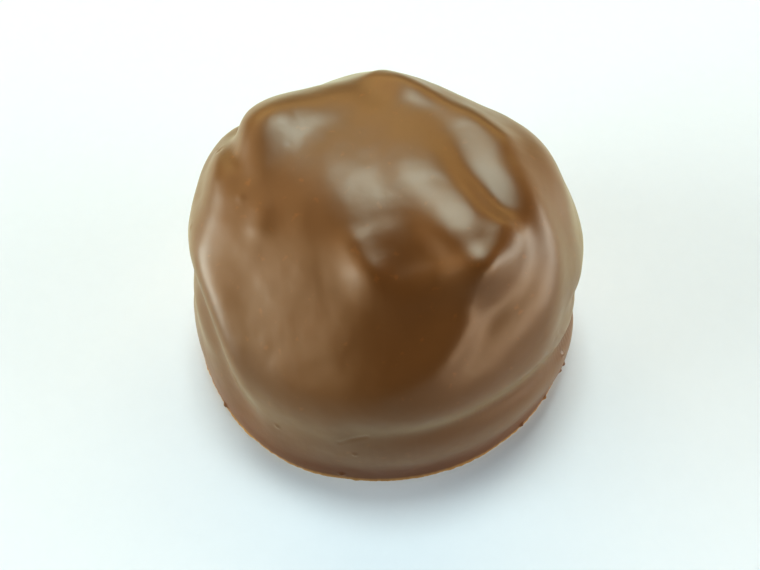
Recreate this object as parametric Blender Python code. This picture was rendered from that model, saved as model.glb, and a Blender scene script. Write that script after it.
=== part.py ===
"""A moulded milk chocolate praline: one solid, lumpy as a rock, on a flat base.

The base's centre on the table is the origin and +Z is up. Azimuth is measured in degrees round
the axis, 0 at the front (-Y), 90 at the right (+X) and 180 at the back. Tilt is the angle from
straight up, 0 at the top and 90 at the base. All sizes are in millimetres until the mesh is made.
"""

from typing import NamedTuple

import bmesh
import bpy
import numpy as np

MM = 0.001

# The plain dome under the lumps
BASE_RADIUS = 15.0
HEIGHT = 18.6
FULLNESS = 3.0

# Points of a fold's line in each span between stations, how far along the line its values are
# averaged, and how near the line its width changes from one side's to the other's
LINE_STEPS = 10
NEARBY = 1.2
CREST = 0.5

# A flat side's plane is left out beyond this cosine from the way it faces
LEAST_COSINE = 0.05

# Steps of the solid round the axis and down its profile, and the angle from which an edge is sharp
ROUND_STEPS = 96
PROFILE_STEPS = 34
SHARP_ANGLE = 60

MILK_CHOCOLATE = (0.235, 0.09, 0.018, 1.0)
SATIN_ROUGHNESS = 0.36


class Fold(NamedTuple):
    """A soft ridge, or a valley where its rises are negative, along a line on the dome.

    Each station is (azimuth, tilt, rise). The line curves through the stations, and its cross
    section fades over one width to its left and another to its right, seen from outside while
    going from the first station to the last. A power of 2 gives a round section, and a higher
    one a flat top with steeper sides.
    """

    stations: tuple
    left: float
    right: float
    power: float = 2


FOLDS = {
    # Over the top
    "crown ridge": Fold(
        ((-178, 26, 0.25), (174, 23, 0.75), (161, 20.5, 0.7), (141, 20, 0.35), (118, 22, 0.35),
         (104, 24.5, 0.2)),
        1.4, 1.3,
    ),
    "right ridge": Fold(
        ((122, 19, 0.1), (107, 21, 0.25), (95, 23, 0.4), (82, 25.5, 0.45), (70, 29.5, 0.35),
         (63, 34, 0.1)),
        2.4, 1.5,
    ),
    "second ridge": Fold(
        ((165, 12, 0.2), (120, 8, 0.35), (75, 9, 0.6), (57, 13, 0.8), (50, 18, 1.1), (47, 22, 1.3),
         (46, 25.5, 1.3), (47, 29.5, 0.3)),
        1.9, 2.4, 3,
    ),
    "band valley": Fold(
        ((112, 13, -0.05), (90, 16, -0.15), (69, 20, -0.25), (56, 24.5, -0.4), (50, 29, -0.5),
         (46, 32, -0.25)),
        1.6, 1.3,
    ),
    "small ridge": Fold(
        ((-25, 20, 0.1), (-16, 23, 0.4), (-7, 26.5, 0.5), (1, 30, 0.3), (7, 33, 0.05)),
        1.2, 1.3,
    ),
    "dimple": Fold(((-16, 18, -0.05), (-9, 22, -0.1), (-2, 26, -0.1), (4, 29, -0.05)), 1.3, 1.3),
    # The knob at the back left
    "left knob": Fold(((-100, 33, 0.4), (-116, 31, 1.3), (-130, 28.5, 1.1), (-143, 25, 0.3)), 2.6, 3.0),
    "knob groove": Fold(
        ((-126, 42, -0.3), (-114, 37, -0.7), (-102, 33, -0.6), (-88, 30, -0.15)),
        1.4, 1.2,
    ),
    "small bump": Fold(((-69, 28, 0.1), (-64, 30, 0.15)), 0.9, 0.9),
    # The right side
    "short ridge": Fold(
        ((22, 31.5, 0.2), (29, 32.5, 0.7), (37, 33, 0.9), (45, 32.5, 0.8), (56, 29.5, 0.2)),
        1.1, 1.8,
    ),
    "knuckle": Fold(
        ((33, 33, 0.1), (28, 37.5, 0.45), (23, 42, 0.6), (15, 47, 0.4), (4, 50.5, 0.1)),
        1.3, 1.8,
    ),
    "right hollow": Fold(((47, 40, -0.05), (38, 46, -0.1), (30, 51, -0.05)), 1.6, 1.6),
    "outer ridge": Fold(
        ((125, 37, 0.2), (104, 36, 0.45), (94, 37, 0.5), (84, 41, 0.4), (77, 45, 0.3), (69, 48, 0.15)),
        2.4, 2.0,
    ),
    "right bulge": Fold(((100, 52, 0.2), (87, 54, 0.4), (76, 54, 0.2)), 1.8, 1.8),
    "right notch": Fold(((95, 63, -0.4), (78, 63, -0.6), (70, 60, -0.3), (62, 56, -0.1)), 1.0, 1.0),
    # The left side
    "left shoulder": Fold(((-128, 50, 0.25), (-110, 47, 0.2), (-88, 42, -0.1)), 2.4, 2.4),
    "left flank groove": Fold(
        ((-97, 62, -0.05), (-87, 58, -0.35), (-77, 54, -0.6), (-66, 53, -0.65), (-56, 57, -0.6),
         (-48, 64, -0.4), (-42, 72, -0.1)),
        1.6, 1.8,
    ),
    "left foot": Fold(
        ((-102, 68, -0.15), (-86, 68, -0.5), (-68, 68, -0.35), (-52, 72, -0.05)),
        1.8, 1.8,
    ),
    # Round the foot
    "foot groove": Fold(
        ((80, 74, -0.5), (60, 69, -0.5), (48, 65, -0.45), (38, 64, -0.4), (24, 64, -0.35),
         (10, 65, -0.25), (-6, 65, -0.1)),
        1.0, 1.0,
    ),
    "foot": Fold(
        ((95, 82, 0.2), (62, 79, 0.3), (48, 74, 0.35), (34, 73, 0.35), (15, 74, 0.3), (-10, 76, 0.2),
         (-30, 78, 0.1)),
        1.8, 1.8,
    ),
    "base bulge": Fold(((-50, 84, 0.05), (-36, 87, 0.3), (-22, 88, 0.35), (-8, 88, 0.05)), 2.5, 2.5),
}


class Facet(NamedTuple):
    """A flat side of the lump: the way it faces, how deep it cuts the dome, how soft its border is."""

    azimuth: float
    tilt: float
    depth: float
    softness: float


FACETS = {
    "top": Facet(180, 2, 0.6, 0.4),
    "step": Facet(20, 10, 0.84, 0.2),
    "brow": Facet(-5, 17, 1.07, 0.4),
    "left brow": Facet(-50, 24, 1.35, 0.5),
    "upper front": Facet(12, 30, 1.4, 0.4),
    "front": Facet(8, 46, 1.6, 0.4),
    "left front": Facet(-27, 44, 2.4, 0.6),
    "back right": Facet(145, 48, 0.6, 0.6),
    "back left": Facet(-140, 40, 0.5, 0.5),
}

# Flat sides cut once the folds are on
TREADS = {
    "second ridge": Facet(-16, 10.4, 1.0, 0.3),
}


def direction(azimuth, tilt):
    """Unit vectors from the base's centre."""
    azimuth, tilt = np.radians(azimuth), np.radians(tilt)
    flat = np.sin(tilt)
    return np.stack([flat * np.sin(azimuth), -flat * np.cos(azimuth), np.cos(tilt)], axis=-1)


def plain_dome(directions):
    """Points of the plain dome, a rounded box turned about the axis."""
    flat = np.hypot(directions[..., 0], directions[..., 1])
    up = np.abs(directions[..., 2])
    reach = ((flat / BASE_RADIUS) ** FULLNESS + (up / HEIGHT) ** FULLNESS) ** (-1 / FULLNESS)
    return directions * reach[..., None]


def cut(reach, directions, facet):
    """The reach of a skin along each direction once a flat side has cut it."""
    dual = FULLNESS / (FULLNESS - 1)
    facing = direction(facet.azimuth, facet.tilt)
    flat, up = np.hypot(facing[0], facing[1]), facing[2]
    farthest = ((BASE_RADIUS * flat) ** dual + (HEIGHT * up) ** dual) ** (1 / dual)
    plane = (farthest - facet.depth) / np.maximum(directions @ facing, LEAST_COSINE)
    return -facet.softness * np.logaddexp(-reach / facet.softness, -plane / facet.softness)


def smooth_line(stations):
    """A curve through the stations on the plain dome: its points, and the rise at each."""
    keys = np.array([(*direction(azimuth, tilt), rise) for azimuth, tilt, rise in stations])
    keys = np.vstack([2 * keys[0] - keys[1], keys, 2 * keys[-1] - keys[-2]])
    spans = len(keys) - 3
    place = np.linspace(0, spans, spans * LINE_STEPS + 1)
    span = np.minimum(place.astype(int), spans - 1)
    t = (place - span)[:, None]
    a, b, c, d = (keys[span + step] for step in range(4))
    square = 2 * a - 5 * b + 4 * c - d
    cube = 3 * b - a - 3 * c + d
    through = 0.5 * (2 * b + (c - a) * t + square * t**2 + cube * t**3)
    unit = through[:, :3] / np.linalg.norm(through[:, :3], axis=1, keepdims=True)
    return plain_dome(unit), through[:, 3]


def smooth_step(value):
    """From 0 at -1 to 1 at 1, level at both ends."""
    return 0.5 + 0.75 * value - 0.25 * value**3


def fold_rise(points, fold):
    """How far a fold lifts each point of the plain dome.

    Each point takes a soft average over the line's nearest points, so that the inside of a bend
    has no crease.
    """
    line, rises = smooth_line(fold.stations)
    leftward = np.cross(line, np.gradient(line, axis=0))
    leftward /= np.linalg.norm(leftward, axis=1, keepdims=True)
    offset = points[:, None, :] - line
    distance = np.linalg.norm(offset, axis=-1)
    near = np.exp((distance.min(axis=1, keepdims=True) ** 2 - distance**2) / NEARBY**2)
    near /= near.sum(axis=1, keepdims=True)
    side = (near * (offset * leftward).sum(-1) / (distance + CREST)).sum(axis=1)
    share_left = smooth_step(side)
    width = fold.left * share_left + fold.right * (1 - share_left)
    reach = distance.min(axis=1)
    return (near @ rises) * np.exp(-((reach / width) ** fold.power))


def lumpy(directions):
    """Points of the praline's skin along each direction from the base's centre."""
    dome = plain_dome(directions)
    reach = np.linalg.norm(dome, axis=1)
    for facet in FACETS.values():
        reach = cut(reach, directions, facet)
    reach += sum(fold_rise(dome, fold) for fold in FOLDS.values())
    for facet in TREADS.values():
        reach = cut(reach, directions, facet)
    return directions * reach[:, None]


def turned_dome():
    """A bmesh of a quarter circle turned about the axis, closed by a flat base."""
    bm = bmesh.new()
    tilts = np.linspace(0, 90, PROFILE_STEPS + 1)
    profile = [bm.verts.new(point) for point in direction(0.0, tilts)]
    edges = [bm.edges.new(pair) for pair in zip(profile[:-1], profile[1:])]
    bmesh.ops.spin(
        bm,
        geom=profile + edges,
        axis=(0, 0, 1),
        cent=(0, 0, 0),
        angle=2 * np.pi,
        steps=ROUND_STEPS,
        use_merge=True,
    )
    bmesh.ops.remove_doubles(bm, verts=bm.verts, dist=1e-5)
    rim = [edge for edge in bm.edges if edge.is_boundary]
    bmesh.ops.contextual_create(bm, geom=rim)
    bmesh.ops.recalc_face_normals(bm, faces=bm.faces)
    return bm


def praline():
    bm = turned_dome()
    directions = np.array([vert.co.normalized() for vert in bm.verts])
    for vert, point in zip(bm.verts, lumpy(directions)):
        vert.co = point * MM
    mesh = bpy.data.meshes.new("praline")
    bm.to_mesh(mesh)
    bm.free()
    mesh.shade_smooth()
    mesh.set_sharp_from_angle(angle=np.radians(SHARP_ANGLE))
    return mesh


def milk_chocolate():
    material = bpy.data.materials.new("milk_chocolate")
    material.use_nodes = True
    shader = material.node_tree.nodes["Principled BSDF"]
    shader.inputs["Base Color"].default_value = MILK_CHOCOLATE
    shader.inputs["Roughness"].default_value = SATIN_ROUGHNESS
    shader.inputs["Metallic"].default_value = 0.0
    return material


for old in list(bpy.data.objects):
    bpy.data.objects.remove(old)

body = bpy.data.objects.new("praline", praline())
body.data.materials.append(milk_chocolate())
bpy.context.scene.collection.objects.link(body)
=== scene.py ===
"""A moulded milk chocolate praline on a sheet of white card, seen from above and in front.

The base's centre is the origin, +Z is up and -Y is the front. Azimuth is measured in degrees round
the axis, 0 at the front, 90 at the right and 180 at the back. Tilt is the angle from straight up,
0 at the top and 90 at the base. Shapes are worked out in millimetres and kept in metres.
"""

from typing import NamedTuple

import bmesh
import bpy
import numpy as np
from mathutils import Matrix, Vector, noise


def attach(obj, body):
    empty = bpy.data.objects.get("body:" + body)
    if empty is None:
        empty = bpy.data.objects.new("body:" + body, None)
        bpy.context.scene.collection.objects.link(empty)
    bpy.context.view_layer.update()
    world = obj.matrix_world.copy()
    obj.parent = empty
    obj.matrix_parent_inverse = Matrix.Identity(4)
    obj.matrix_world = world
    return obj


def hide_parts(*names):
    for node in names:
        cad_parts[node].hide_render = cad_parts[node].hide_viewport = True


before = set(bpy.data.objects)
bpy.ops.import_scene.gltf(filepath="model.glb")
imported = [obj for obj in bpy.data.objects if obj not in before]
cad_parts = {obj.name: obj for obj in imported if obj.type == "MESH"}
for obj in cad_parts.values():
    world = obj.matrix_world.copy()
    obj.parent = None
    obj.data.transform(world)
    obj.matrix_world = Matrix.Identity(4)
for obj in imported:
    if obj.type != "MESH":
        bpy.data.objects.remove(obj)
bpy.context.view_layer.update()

# Praline
# A lump of milk chocolate, cast in a mould whose walls are folded like a rough stone. It shrinks
# as it sets and drops out with every ridge, hollow and flat side of the mould, on a flat base.

MM = 0.001

# The plain dome under the lumps
BASE_RADIUS = 15.0
HEIGHT = 18.6
FULLNESS = 3.0

# Points of a fold's line in each span between stations, how far along the line its values are
# averaged, and how near the line its width changes from one side's to the other's
LINE_STEPS = 10
NEARBY = 1.2
CREST = 0.5

# A flat side's plane is left out beyond this cosine from the way it faces, and a fold beyond this
# many widths from its line
LEAST_COSINE = 0.05
FADED_OUT = 3.0


class Fold(NamedTuple):
    """A soft ridge, or a valley where its rises are negative, along a line on the dome.

    Each station is (azimuth, tilt, rise). The line curves through the stations, and its cross
    section fades over one width to its left and another to its right, seen from outside while
    going from the first station to the last. A power of 2 gives a round section, and a higher
    one a flat top with steeper sides.
    """

    stations: tuple
    left: float
    right: float
    power: float = 2


FOLDS = {
    # Over the top
    "crown ridge": Fold(
        ((-178, 26, 0.25), (174, 23, 0.75), (161, 20.5, 0.7), (141, 20, 0.35), (118, 22, 0.35),
         (104, 24.5, 0.2)),
        1.4, 1.3,
    ),
    "right ridge": Fold(
        ((122, 20, 0.15), (107, 22, 0.25), (95, 24, 0.35), (82, 27, 0.45), (71, 32.5, 0.5),
         (64, 38.5, 0.5), (58, 44, 0.45), (53, 49, 0.35), (49, 54, 0.25), (45, 58, 0.1)),
        1.7, 2.0,
    ),
    "second ridge": Fold(
        ((165, 12, 0.2), (120, 8, 0.35), (75, 9, 0.4), (57, 13, 0.45), (50, 18, 0.9), (47, 22, 1.4),
         (46, 26, 1.55), (47, 30, 0.5)),
        2.1, 2.7, 3,
    ),
    "band valley": Fold(
        ((112, 13, -0.05), (90, 16, -0.15), (69, 20, -0.25), (56, 24.5, -0.4), (50, 29, -0.5),
         (46, 32, -0.25)),
        1.6, 1.3,
    ),
    "small ridge": Fold(
        ((-15, 20.5, 0.1), (-10, 23.5, 0.45), (-4, 26.5, 0.55), (2, 29.5, 0.35), (7, 32, 0.05)),
        1.4, 1.6,
    ),
    "dimple": Fold(((-14, 17.5, -0.03), (-9, 20, -0.12), (-3, 23, -0.12), (3, 26, -0.03)), 1.1, 1.1),
    # The knob at the back left
    "left knob": Fold(
        ((-98, 33, 0.4), (-114, 31, 1.25), (-130, 28.5, 1.1), (-143, 25, 0.3)),
        2.7, 3.2, 3,
    ),
    "knob groove": Fold(
        ((-126, 42, -0.3), (-114, 37, -0.7), (-102, 33, -0.6), (-88, 30, -0.15)),
        1.2, 1.0,
    ),
    "small bump": Fold(((-69, 28, 0.1), (-64, 30, 0.15)), 0.9, 0.9),
    # The right side
    "short ridge": Fold(
        ((20, 29, 0.2), (27, 30, 0.7), (36, 30.7, 0.95), (45, 30.5, 0.95), (54, 28.5, 0.3)),
        1.1, 1.8,
    ),
    "knuckle": Fold(
        ((36, 31, 0.15), (30, 35.5, 0.45), (24, 41, 0.5), (15, 47, 0.35), (4, 50.5, 0.1)),
        1.3, 1.8,
    ),
    "right hollow": Fold(((47, 40, -0.05), (38, 44, -0.05), (30, 48, -0.03)), 1.6, 1.6),
    "outer ridge": Fold(
        ((125, 37, 0.2), (104, 36, 0.45), (94, 37, 0.5), (84, 41, 0.4), (77, 45, 0.3), (69, 48, 0.15)),
        2.4, 2.0,
    ),
    "right bulge": Fold(((100, 52, 0.2), (87, 54, 0.4), (76, 54, 0.2)), 1.8, 1.8),
    "right notch": Fold(
        ((122, 64, -0.02), (108, 63.5, -0.12), (95, 63, -0.3), (82, 63, -0.5), (72, 61, -0.4),
         (62, 56, -0.1)),
        1.2, 1.2,
    ),
    # The left side
    "left shoulder": Fold(
        ((-140, 45, 0.2), (-124, 44, 0.6), (-108, 45, 0.5), (-92, 49, 0.2), (-78, 47.5, 0.25),
         (-64, 47.5, 0.3), (-54, 51, 0.3), (-46, 57, 0.25), (-41, 64, 0.1)),
        1.6, 1.6,
    ),
    "left flank groove": Fold(
        ((-97, 64.5, -0.05), (-87, 60.5, -0.4), (-77, 56.5, -0.65), (-66, 55.5, -0.75),
         (-56, 59.5, -0.75), (-48, 66.5, -0.6), (-42, 73, -0.25)),
        1.5, 1.8,
    ),
    "left foot": Fold(
        ((-102, 68, -0.15), (-86, 68, -0.5), (-68, 68, -0.35), (-52, 72, -0.05)),
        1.8, 1.8,
    ),
    # Round the foot
    "foot groove": Fold(
        ((122, 80, -0.02), (106, 79, -0.15), (92, 77, -0.35), (78, 74, -0.45), (60, 69, -0.5),
         (48, 65, -0.45), (38, 64, -0.4), (24, 64, -0.35), (10, 65, -0.25), (-6, 65, -0.1)),
        1.1, 1.1,
    ),
    "foot": Fold(
        ((125, 84, 0.03), (105, 83, 0.15), (80, 81, 0.3), (62, 79, 0.3), (48, 74, 0.35),
         (34, 73, 0.35), (15, 74, 0.3), (-10, 76, 0.2), (-30, 78, 0.1)),
        1.8, 1.8,
    ),
    "base bulge": Fold(((-50, 84, 0.05), (-36, 87, 0.3), (-22, 88, 0.35), (-8, 88, 0.05)), 2.5, 2.5),
}


class Facet(NamedTuple):
    """A flat side of the lump: the way it faces, how deep it cuts the dome, how soft its border is."""

    azimuth: float
    tilt: float
    depth: float
    softness: float


FACETS = {
    "top": Facet(180, 2, 0.6, 0.4),
    "step": Facet(20, 10, 0.84, 0.2),
    "brow": Facet(-5, 17, 1.07, 0.4),
    "left brow": Facet(-50, 24, 1.35, 0.5),
    "upper front": Facet(15, 30, 1.4, 0.4),
    "front": Facet(10, 46, 1.6, 0.4),
    "left front": Facet(-27, 44, 2.4, 0.6),
    "back right": Facet(145, 48, 0.6, 0.6),
    "back left": Facet(-140, 40, 0.5, 0.5),
}

# Flat sides cut once the folds are on
TREADS = {
    "second ridge": Facet(-14, 10.6, 0.72, 0.3),
}


def direction(azimuth, tilt):
    """Unit vectors from the base's centre."""
    azimuth, tilt = np.radians(azimuth), np.radians(tilt)
    flat = np.sin(tilt)
    return np.stack([flat * np.sin(azimuth), -flat * np.cos(azimuth), np.cos(tilt)], axis=-1)


def plain_dome(directions):
    """Points of the plain dome, a rounded box turned about the axis."""
    flat = np.hypot(directions[..., 0], directions[..., 1])
    up = np.abs(directions[..., 2])
    reach = ((flat / BASE_RADIUS) ** FULLNESS + (up / HEIGHT) ** FULLNESS) ** (-1 / FULLNESS)
    return directions * reach[..., None]


def cut(reach, directions, facet):
    """The reach of a skin along each direction once a flat side has cut it."""
    facing = direction(facet.azimuth, facet.tilt)
    # The plain dome's farthest point that way, from which the depth of the cut is measured
    dual = FULLNESS / (FULLNESS - 1)
    flat, up = np.hypot(facing[0], facing[1]), facing[2]
    farthest = ((BASE_RADIUS * flat) ** dual + (HEIGHT * up) ** dual) ** (1 / dual)
    plane = (farthest - facet.depth) / np.maximum(directions @ facing, LEAST_COSINE)
    return -facet.softness * np.logaddexp(-reach / facet.softness, -plane / facet.softness)


def smooth_line(stations):
    """A curve through the stations on the plain dome: its points, and the rise at each."""
    keys = np.array([(*direction(azimuth, tilt), rise) for azimuth, tilt, rise in stations])
    keys = np.vstack([2 * keys[0] - keys[1], keys, 2 * keys[-1] - keys[-2]])
    spans = len(keys) - 3
    place = np.linspace(0, spans, spans * LINE_STEPS + 1)
    span = np.minimum(place.astype(int), spans - 1)
    # A Catmull-Rom curve: between two stations, it also heeds the one before and the one after
    share = (place - span)[:, None]
    before, start, end, after = (keys[span + step] for step in range(4))
    square = 2 * before - 5 * start + 4 * end - after
    cube = 3 * start - before - 3 * end + after
    through = 0.5 * (2 * start + (end - before) * share + square * share**2 + cube * share**3)
    unit = through[:, :3] / np.linalg.norm(through[:, :3], axis=1, keepdims=True)
    return plain_dome(unit), through[:, 3]


def smooth_step(value):
    """From 0 at -1 to 1 at 1, level at both ends."""
    return 0.5 + 0.75 * value - 0.25 * value**3


def fold_rise(points, fold):
    """How far a fold lifts each point of the plain dome.

    Each point takes a soft average over the line's nearest points, so that the inside of a bend
    has no crease.
    """
    line, rises = smooth_line(fold.stations)
    leftward = np.cross(line, np.gradient(line, axis=0))
    leftward /= np.linalg.norm(leftward, axis=1, keepdims=True)
    middle = line[len(line) // 2]
    half_length = np.linalg.norm(line - middle, axis=1).max()
    reached = half_length + FADED_OUT * max(fold.left, fold.right)
    close = np.linalg.norm(points - middle, axis=1) < reached
    offset = points[close][:, None, :] - line
    distance = np.linalg.norm(offset, axis=-1)
    near = np.exp((distance.min(axis=1, keepdims=True) ** 2 - distance**2) / NEARBY**2)
    near /= near.sum(axis=1, keepdims=True)
    side = (near * (offset * leftward).sum(-1) / (distance + CREST)).sum(axis=1)
    share_left = smooth_step(side)
    width = fold.left * share_left + fold.right * (1 - share_left)
    rise = np.zeros(len(points))
    rise[close] = (near @ rises) * np.exp(-((distance.min(axis=1) / width) ** fold.power))
    return rise


def lumpy(directions):
    """Points of the praline's skin along each direction from the base's centre."""
    dome = plain_dome(directions)
    reach = np.linalg.norm(dome, axis=1)
    for facet in FACETS.values():
        reach = cut(reach, directions, facet)
    reach += sum(fold_rise(dome, fold) for fold in FOLDS.values())
    for facet in TREADS.values():
        reach = cut(reach, directions, facet)
    return directions * reach[:, None]


# Waves left in the skin by the mould and the shrinking: (size across, height)
SKIN_WAVES = ((3.5, 0.05), (1.3, 0.017), (0.6, 0.005), (0.3, 0.0015))

# The ragged foot, where the chocolate was scraped level with the mould: how high it reaches, how
# far it juts out, the share of that which runs all round, and its nicks: (size across, share)
RIM_HEIGHT = 0.35
RIM_JUT = 0.1
RIM_ALL_ROUND = 0.4
RIM_NICKS = ((2.3, 0.7), (0.8, 0.4), (0.35, 0.5))


class Mark(NamedTuple):
    """A small round dent in the skin, or a crumb on it where its height is positive."""

    azimuth: float
    tilt: float
    size: float
    height: float


MARKS = (
    # Pits on the knob and a chip beside it
    Mark(-117, 26.6, 0.16, -0.03),
    Mark(-113, 24, 0.14, -0.02),
    Mark(-111, 22, 0.14, -0.025),
    Mark(-116, 20.7, 0.15, -0.025),
    Mark(-110, 17.8, 0.14, -0.02),
    Mark(-103, 20, 0.15, -0.02),
    Mark(-105, 38, 0.22, -0.1),
    Mark(-107, 39.5, 0.16, -0.06),
    # A pimple and two grains on the left flank
    Mark(-79, 31, 0.3, 0.05),
    Mark(-83, 47, 0.2, 0.05),
    Mark(-70, 50, 0.18, 0.05),
    # Crumbs at the foot
    Mark(63, 74, 0.22, 0.2),
    Mark(66, 84, 0.2, 0.25),
    Mark(61, 80, 0.15, 0.15),
    Mark(56, 89, 0.2, 0.2),
    Mark(44, 88, 0.18, 0.18),
    Mark(-7, 73, 0.15, 0.08),
    Mark(-11, 87, 0.2, 0.12),
    Mark(-29, 72, 0.16, 0.06),
    Mark(-52, 88, 0.22, 0.2),
)

SCRATCHES = (
    Fold(((-11, 69, -0.02), (-8, 67, -0.05), (-4, 65.4, -0.02)), 0.16, 0.16),
    Fold(((57, 58, -0.01), (60, 62, -0.04), (62, 67, -0.01)), 0.18, 0.18),
    Fold(((54, 58, -0.01), (57, 62, -0.04), (59, 66, -0.01)), 0.18, 0.18),
)


def wave(points, size):
    """Smooth noise from -1 to 1, with bumps of about the given size."""
    return np.array([noise.noise(Vector(point) / size) for point in points])


def weathered(points):
    """The skin with its small waves, its marks and scratches, and the ragged foot."""
    outward = points / np.linalg.norm(points, axis=1, keepdims=True)
    dome = plain_dome(outward)
    rise = sum(height * wave(points, size) for size, height in SKIN_WAVES)
    rise += sum(fold_rise(dome, scratch) for scratch in SCRATCHES)
    for mark in MARKS:
        centre = lumpy(direction(mark.azimuth, mark.tilt)[None])[0]
        distance = np.linalg.norm(points - centre, axis=1)
        rise += mark.height * np.exp(-((distance / mark.size) ** 2))
    level = np.array((1, 1, 0))
    nicks = sum(share * wave(points * level, size) for size, share in RIM_NICKS)
    jut = RIM_JUT * np.exp(-points[:, 2] / RIM_HEIGHT) * (RIM_ALL_ROUND + nicks)
    return points + outward * rise[:, None] + outward * level * jut[:, None]


SKIN_SUBDIVISIONS = 8
SHARP_ANGLE = 60


def praline_skin():
    """A fine half ball pushed out to the praline's skin, closed by its flat base."""
    ball = bmesh.new()
    bmesh.ops.create_icosphere(ball, subdivisions=SKIN_SUBDIVISIONS, radius=1.0)
    everything = ball.verts[:] + ball.edges[:] + ball.faces[:]
    bmesh.ops.bisect_plane(
        ball, geom=everything, plane_co=(0, 0, 0), plane_no=(0, 0, 1), clear_inner=True
    )
    bmesh.ops.contextual_create(ball, geom=[edge for edge in ball.edges if edge.is_boundary])
    bmesh.ops.recalc_face_normals(ball, faces=ball.faces)
    directions = np.array([vert.co.normalized() for vert in ball.verts])
    for vert, point in zip(ball.verts, weathered(lumpy(directions))):
        vert.co = point * MM
    mesh = bpy.data.meshes.new("praline_skin")
    ball.to_mesh(mesh)
    ball.free()
    mesh.shade_smooth()
    mesh.set_sharp_from_angle(angle=np.radians(SHARP_ANGLE))
    return mesh


def linear(hex_colour):
    """An sRGB hex colour as linear red, green, blue and alpha, by the sRGB standard's own curve."""
    srgb = [int(hex_colour[start : start + 2], 16) / 255 for start in (1, 3, 5)]
    light = [
        value / 12.92 if value <= 0.04045 else ((value + 0.055) / 1.055) ** 2.4 for value in srgb
    ]
    return light + [1.0]


def node(tree, kind, inputs, **settings):
    """Adds a node with its settings. Each input is a plain value or another node's output."""
    added = tree.nodes.new(kind)
    for name, value in settings.items():
        setattr(added, name, value)
    for name, value in inputs.items():
        if isinstance(value, bpy.types.NodeSocket):
            tree.links.new(value, added.inputs[name])
        else:
            added.inputs[name].default_value = value
    return added


def blank_material(name):
    """A new material: itself, its node tree, its shader, and the object's own coordinates."""
    material = bpy.data.materials.new(name)
    material.use_nodes = True
    tree = material.node_tree
    place = node(tree, "ShaderNodeTexCoord", {}).outputs["Object"]
    return material, tree, tree.nodes["Principled BSDF"], place


# Milk chocolate's browns: two for its clouds, one for its specks, and the foot's scraped edge. The
# bloom is cocoa butter's pale yellow
DARKER_BROWN = "#663f1d"
LIGHTER_BROWN = "#724621"
SPECK_BROWN = "#9a5d28"
SCRAPED_TAN = "#b58a4e"
BLOOM_TINT = "#f2fcd8"

# Sizes across: clouds of brown, specks drawn a little larger than the real ones, and patches of
# smoother and rougher satin
CLOUD_SIZE = 5 * MM
SPECK_SIZE = 0.7 * MM
SATIN_SIZE = 2.5 * MM

# Pebbling of the skin, too fine in the real one to show, so it is drawn coarser
PEBBLE_SIZE = 0.3 * MM
PEBBLE_DEPTH = 0.02 * MM

# Heights between which the scraped edge ends and the bloom begins
SCRAPED_FROM = 0.15 * MM
SCRAPED_TO = 0.5 * MM
BLOOM_FROM = 1.5 * MM
BLOOM_TO = 6.0 * MM

# Between the refractive indices of cocoa butter, 1.46, and sugar, 1.56
CHOCOLATE_IOR = 1.5


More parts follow.
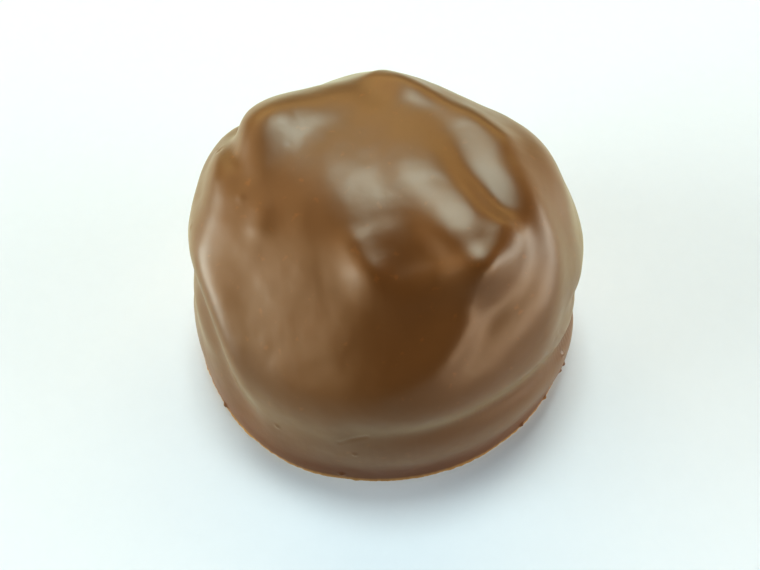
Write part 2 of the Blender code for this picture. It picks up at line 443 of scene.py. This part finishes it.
def milk_chocolate():
    """Milk chocolate, tempered and set against a smooth mould.

    Cocoa butter makes it satin, not glossy: highlights are broad and pale. Sugar and cocoa leave
    faint clouds and specks of warmer brown, and the scraped foot shows a thin tan edge.
    """
    material, tree, shader, place = blank_material("milk_chocolate")
    height = node(tree, "ShaderNodeSeparateXYZ", {"Vector": place}).outputs["Z"]

    clouds = node(
        tree,
        "ShaderNodeTexNoise",
        {"Vector": place, "Scale": 1 / CLOUD_SIZE, "Detail": 4.0, "Roughness": 0.55},
    )
    body = node(
        tree,
        "ShaderNodeMix",
        {"Factor": clouds.outputs["Fac"], "A": linear(DARKER_BROWN), "B": linear(LIGHTER_BROWN)},
        data_type="RGBA",
    )
    specks = node(
        tree,
        "ShaderNodeTexNoise",
        {"Vector": place, "Scale": 1 / SPECK_SIZE, "Detail": 2.0, "Roughness": 0.5},
    )
    # Only the noise's highest peaks are specks
    speck_mask = node(
        tree,
        "ShaderNodeMapRange",
        {"Value": specks.outputs["Fac"], "From Min": 0.66, "From Max": 0.78, "To Max": 0.22},
    )
    speckled = node(
        tree,
        "ShaderNodeMix",
        {
            "Factor": speck_mask.outputs["Result"],
            "A": body.outputs["Result"],
            "B": linear(SPECK_BROWN),
        },
        data_type="RGBA",
    )
    scraped_mask = node(
        tree,
        "ShaderNodeMapRange",
        {"Value": height, "From Min": SCRAPED_TO, "From Max": SCRAPED_FROM, "To Max": 0.85},
    )
    coloured = node(
        tree,
        "ShaderNodeMix",
        {
            "Factor": scraped_mask.outputs["Result"],
            "A": speckled.outputs["Result"],
            "B": linear(SCRAPED_TAN),
        },
        data_type="RGBA",
    )
    tree.links.new(coloured.outputs["Result"], shader.inputs["Base Color"])

    # Satin that varies with how closely the chocolate lay against the mould
    satin = node(
        tree,
        "ShaderNodeTexNoise",
        {"Vector": place, "Scale": 1 / SATIN_SIZE, "Detail": 5.0, "Roughness": 0.6},
    )
    roughness = node(
        tree, "ShaderNodeMapRange", {"Value": satin.outputs["Fac"], "To Min": 0.31, "To Max": 0.42}
    )
    tree.links.new(roughness.outputs["Result"], shader.inputs["Roughness"])
    shader.inputs["IOR"].default_value = CHOCOLATE_IOR

    # A faint bloom of cocoa butter, seen where the skin turns away. The foot is scraped clean
    bloom = node(
        tree,
        "ShaderNodeMapRange",
        {"Value": height, "From Min": BLOOM_FROM, "From Max": BLOOM_TO, "To Min": 0.0, "To Max": 0.3},
    )
    tree.links.new(bloom.outputs["Result"], shader.inputs["Sheen Weight"])
    shader.inputs["Sheen Roughness"].default_value = 0.5
    shader.inputs["Sheen Tint"].default_value = linear(BLOOM_TINT)

    pebbles = node(
        tree,
        "ShaderNodeTexNoise",
        {"Vector": place, "Scale": 1 / PEBBLE_SIZE, "Detail": 3.0, "Roughness": 0.6},
    )
    bump = node(
        tree,
        "ShaderNodeBump",
        {"Height": pebbles.outputs["Fac"], "Strength": 0.12, "Distance": PEBBLE_DEPTH},
    )
    tree.links.new(bump.outputs["Normal"], shader.inputs["Normal"])
    return material


praline = bpy.data.objects.new("praline_body", praline_skin())
praline.data.materials.append(milk_chocolate())
bpy.context.scene.collection.objects.link(praline)
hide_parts("praline")
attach(praline, "root")

# Table top
# A large sheet of uncoated white card with a cool tint, on which the praline stands. The card glows
# faintly by itself, as if on a light table, and this painted fill light lifts the praline's shadow on
# it.

# The side in metres, the size across of the mottle, and the card's own finish and glow
TABLE_SIDE = 3.0
FIBRE_SIZE = 1.5 * MM
CARD_ROUGHNESS = 0.7
GLOW_TINT = "#eefcff"
# The card's glow is painted fill light, which lifts the praline's shadow on the card
TABLE_GLOW = 0.13


def card(name, darker, lighter, glow=0.0):
    """Uncoated card: its fibres make it matt, with a faint mottle drawn coarser than the real one."""
    material, tree, shader, place = blank_material(name)
    fibres = node(
        tree,
        "ShaderNodeTexNoise",
        {"Vector": place, "Scale": 1 / FIBRE_SIZE, "Detail": 3.0, "Roughness": 0.6},
    )
    mottle = node(
        tree,
        "ShaderNodeMix",
        {"Factor": fibres.outputs["Fac"], "A": linear(darker), "B": linear(lighter)},
        data_type="RGBA",
    )
    tree.links.new(mottle.outputs["Result"], shader.inputs["Base Color"])
    shader.inputs["Roughness"].default_value = CARD_ROUGHNESS
    # A glow here is painted fill light from the card itself, which lifts shadows on it
    shader.inputs["Emission Color"].default_value = linear(GLOW_TINT)
    shader.inputs["Emission Strength"].default_value = glow
    return material


def sheet(name, width, length, place, material):
    """A flat sheet of card, which the matrix of its place turns and moves from the origin."""
    square = bmesh.new()
    bmesh.ops.create_grid(square, x_segments=1, y_segments=1, size=0.5)
    size = Matrix.Diagonal((width, length, 1, 1))
    bmesh.ops.transform(square, matrix=place @ size, verts=square.verts)
    flat_sheet = bpy.data.objects.new(name, bpy.data.meshes.new(name))
    square.to_mesh(flat_sheet.data)
    square.free()
    flat_sheet.data.materials.append(material)
    bpy.context.scene.collection.objects.link(flat_sheet)
    return flat_sheet


white_card = card("white_card", "#c5c6d2", "#c8c9d5", glow=TABLE_GLOW)
table_top = sheet("table_top", TABLE_SIDE, TABLE_SIDE, Matrix.Identity(4), white_card)

# Camera
# Close above the praline's front, looking down at 57 degrees, with a wide lens. The distance is in
# millimetres from the base's centre, and the lens and the sensor's width are in millimetres too.

CAMERA_ELEVATION = 57
CAMERA_DISTANCE = 67.5
AIM = Vector((-0.22, 0, 3.2)) * MM
LENS = 38.4
SENSOR = 36.0

camera_place = Vector(direction(0, 90 - CAMERA_ELEVATION)) * CAMERA_DISTANCE * MM
camera = bpy.data.objects.new("camera", bpy.data.cameras.new("camera"))
camera.data.sensor_width = SENSOR
camera.data.lens = LENS
camera.data.clip_start = MM
camera.location = camera_place
camera.rotation_euler = (AIM - camera_place).to_track_quat("-Z", "Y").to_euler()
bpy.context.scene.collection.objects.link(camera)
bpy.context.scene.camera = camera

# Light
# Plain soft studio light: a light above and behind the praline, a softbox and a low lamp on either
# side, and pale reflectors at the back and the sides. The side towards the camera is dark.

# How far the lights stand in metres, and what they face
LIGHT_DISTANCE = 0.6
LIGHT_AIM = Vector((0, 0, 10 * MM))


def soft_light(name, azimuth, elevation, size, radiance, tint, body=True, gloss=True):
    """A rectangle of soft light that faces the praline from LIGHT_DISTANCE metres away.

    It lights the body of what it falls on, or shows in its gloss, or both.
    """
    light = bpy.data.lights.new(name, "AREA")
    light.shape = "RECTANGLE"
    light.size, light.size_y = size
    light.energy = radiance * np.pi * size[0] * size[1]
    light.color = linear(tint)[:3]
    lamp = bpy.data.objects.new(name, light)
    lamp.location = Vector(direction(azimuth, 90 - elevation)) * LIGHT_DISTANCE
    lamp.rotation_euler = (LIGHT_AIM - lamp.location).to_track_quat("-Z", "Y").to_euler()
    lamp.visible_camera = False
    lamp.visible_diffuse = body
    lamp.visible_glossy = gloss
    bpy.context.scene.collection.objects.link(lamp)


# Azimuth and elevation in degrees, sides in metres, radiance and tint. The low lamps light the body
# alone, and the reflectors at the sides show in the gloss alone
soft_light("top_light", -176, 70, (0.23, 0.18), 15.0, "#eafff6")
soft_light("back_reflector", 180, 38, (0.80, 0.20), 3.0, "#ffdc98")
soft_light("far_left_reflector", -118, 44, (0.50, 0.36), 1.3, "#ffeec4", body=False)
soft_light("left_softbox", -80, 11, (0.46, 0.30), 8.2, "#f0fffa")
soft_light("left_lamp", -98, 4, (0.36, 0.12), 12.0, "#ecfff4", gloss=False)
soft_light("left_reflector", -58, 32, (0.46, 0.42), 2.4, "#fff0c8", body=False)
soft_light("right_softbox", 90, 12, (0.46, 0.26), 5.0, "#f4fffa")
soft_light("right_lamp", 62, 4, (0.36, 0.12), 11.0, "#fbfffb", gloss=False)
soft_light("right_reflector", 50, 12, (0.50, 0.24), 4.4, "#fff8e0", body=False)
soft_light("far_right_reflector", 122, 14, (0.40, 0.26), 1.0, "#fffbe8", body=False)

world = bpy.data.worlds.new("studio")
world.use_nodes = True
world.node_tree.nodes["Background"].inputs["Color"].default_value = linear("#f3ffff")
world.node_tree.nodes["Background"].inputs["Strength"].default_value = 0.02
bpy.context.scene.world = world

# Dark card
# A black card just behind the lens and reaching to its right, out of the picture. The front of the
# praline mirrors it and so stays dark.

# The sides in metres, the distance as a share of the camera's, and the shift to the right
CARD_WIDTH = 0.12
CARD_LENGTH = 0.08
CARD_BEHIND = 1.02
CARD_RIGHT = 15 * MM

card_place = Matrix.Translation(camera_place * CARD_BEHIND + Vector((CARD_RIGHT, 0, 0)))
card_turn = (-camera_place).to_track_quat("-Z", "Y").to_matrix().to_4x4()
black_card = card("black_card", "#191919", "#1b1b1b")
dark_card = sheet("dark_card", CARD_WIDTH, CARD_LENGTH, card_place @ card_turn, black_card)
dark_card.visible_camera = False

# Picture
# The plain tones of a compact camera, with more contrast than the eye sees.

bpy.context.scene.view_settings.view_transform = "Standard"
bpy.context.scene.view_settings.look = "High Contrast"
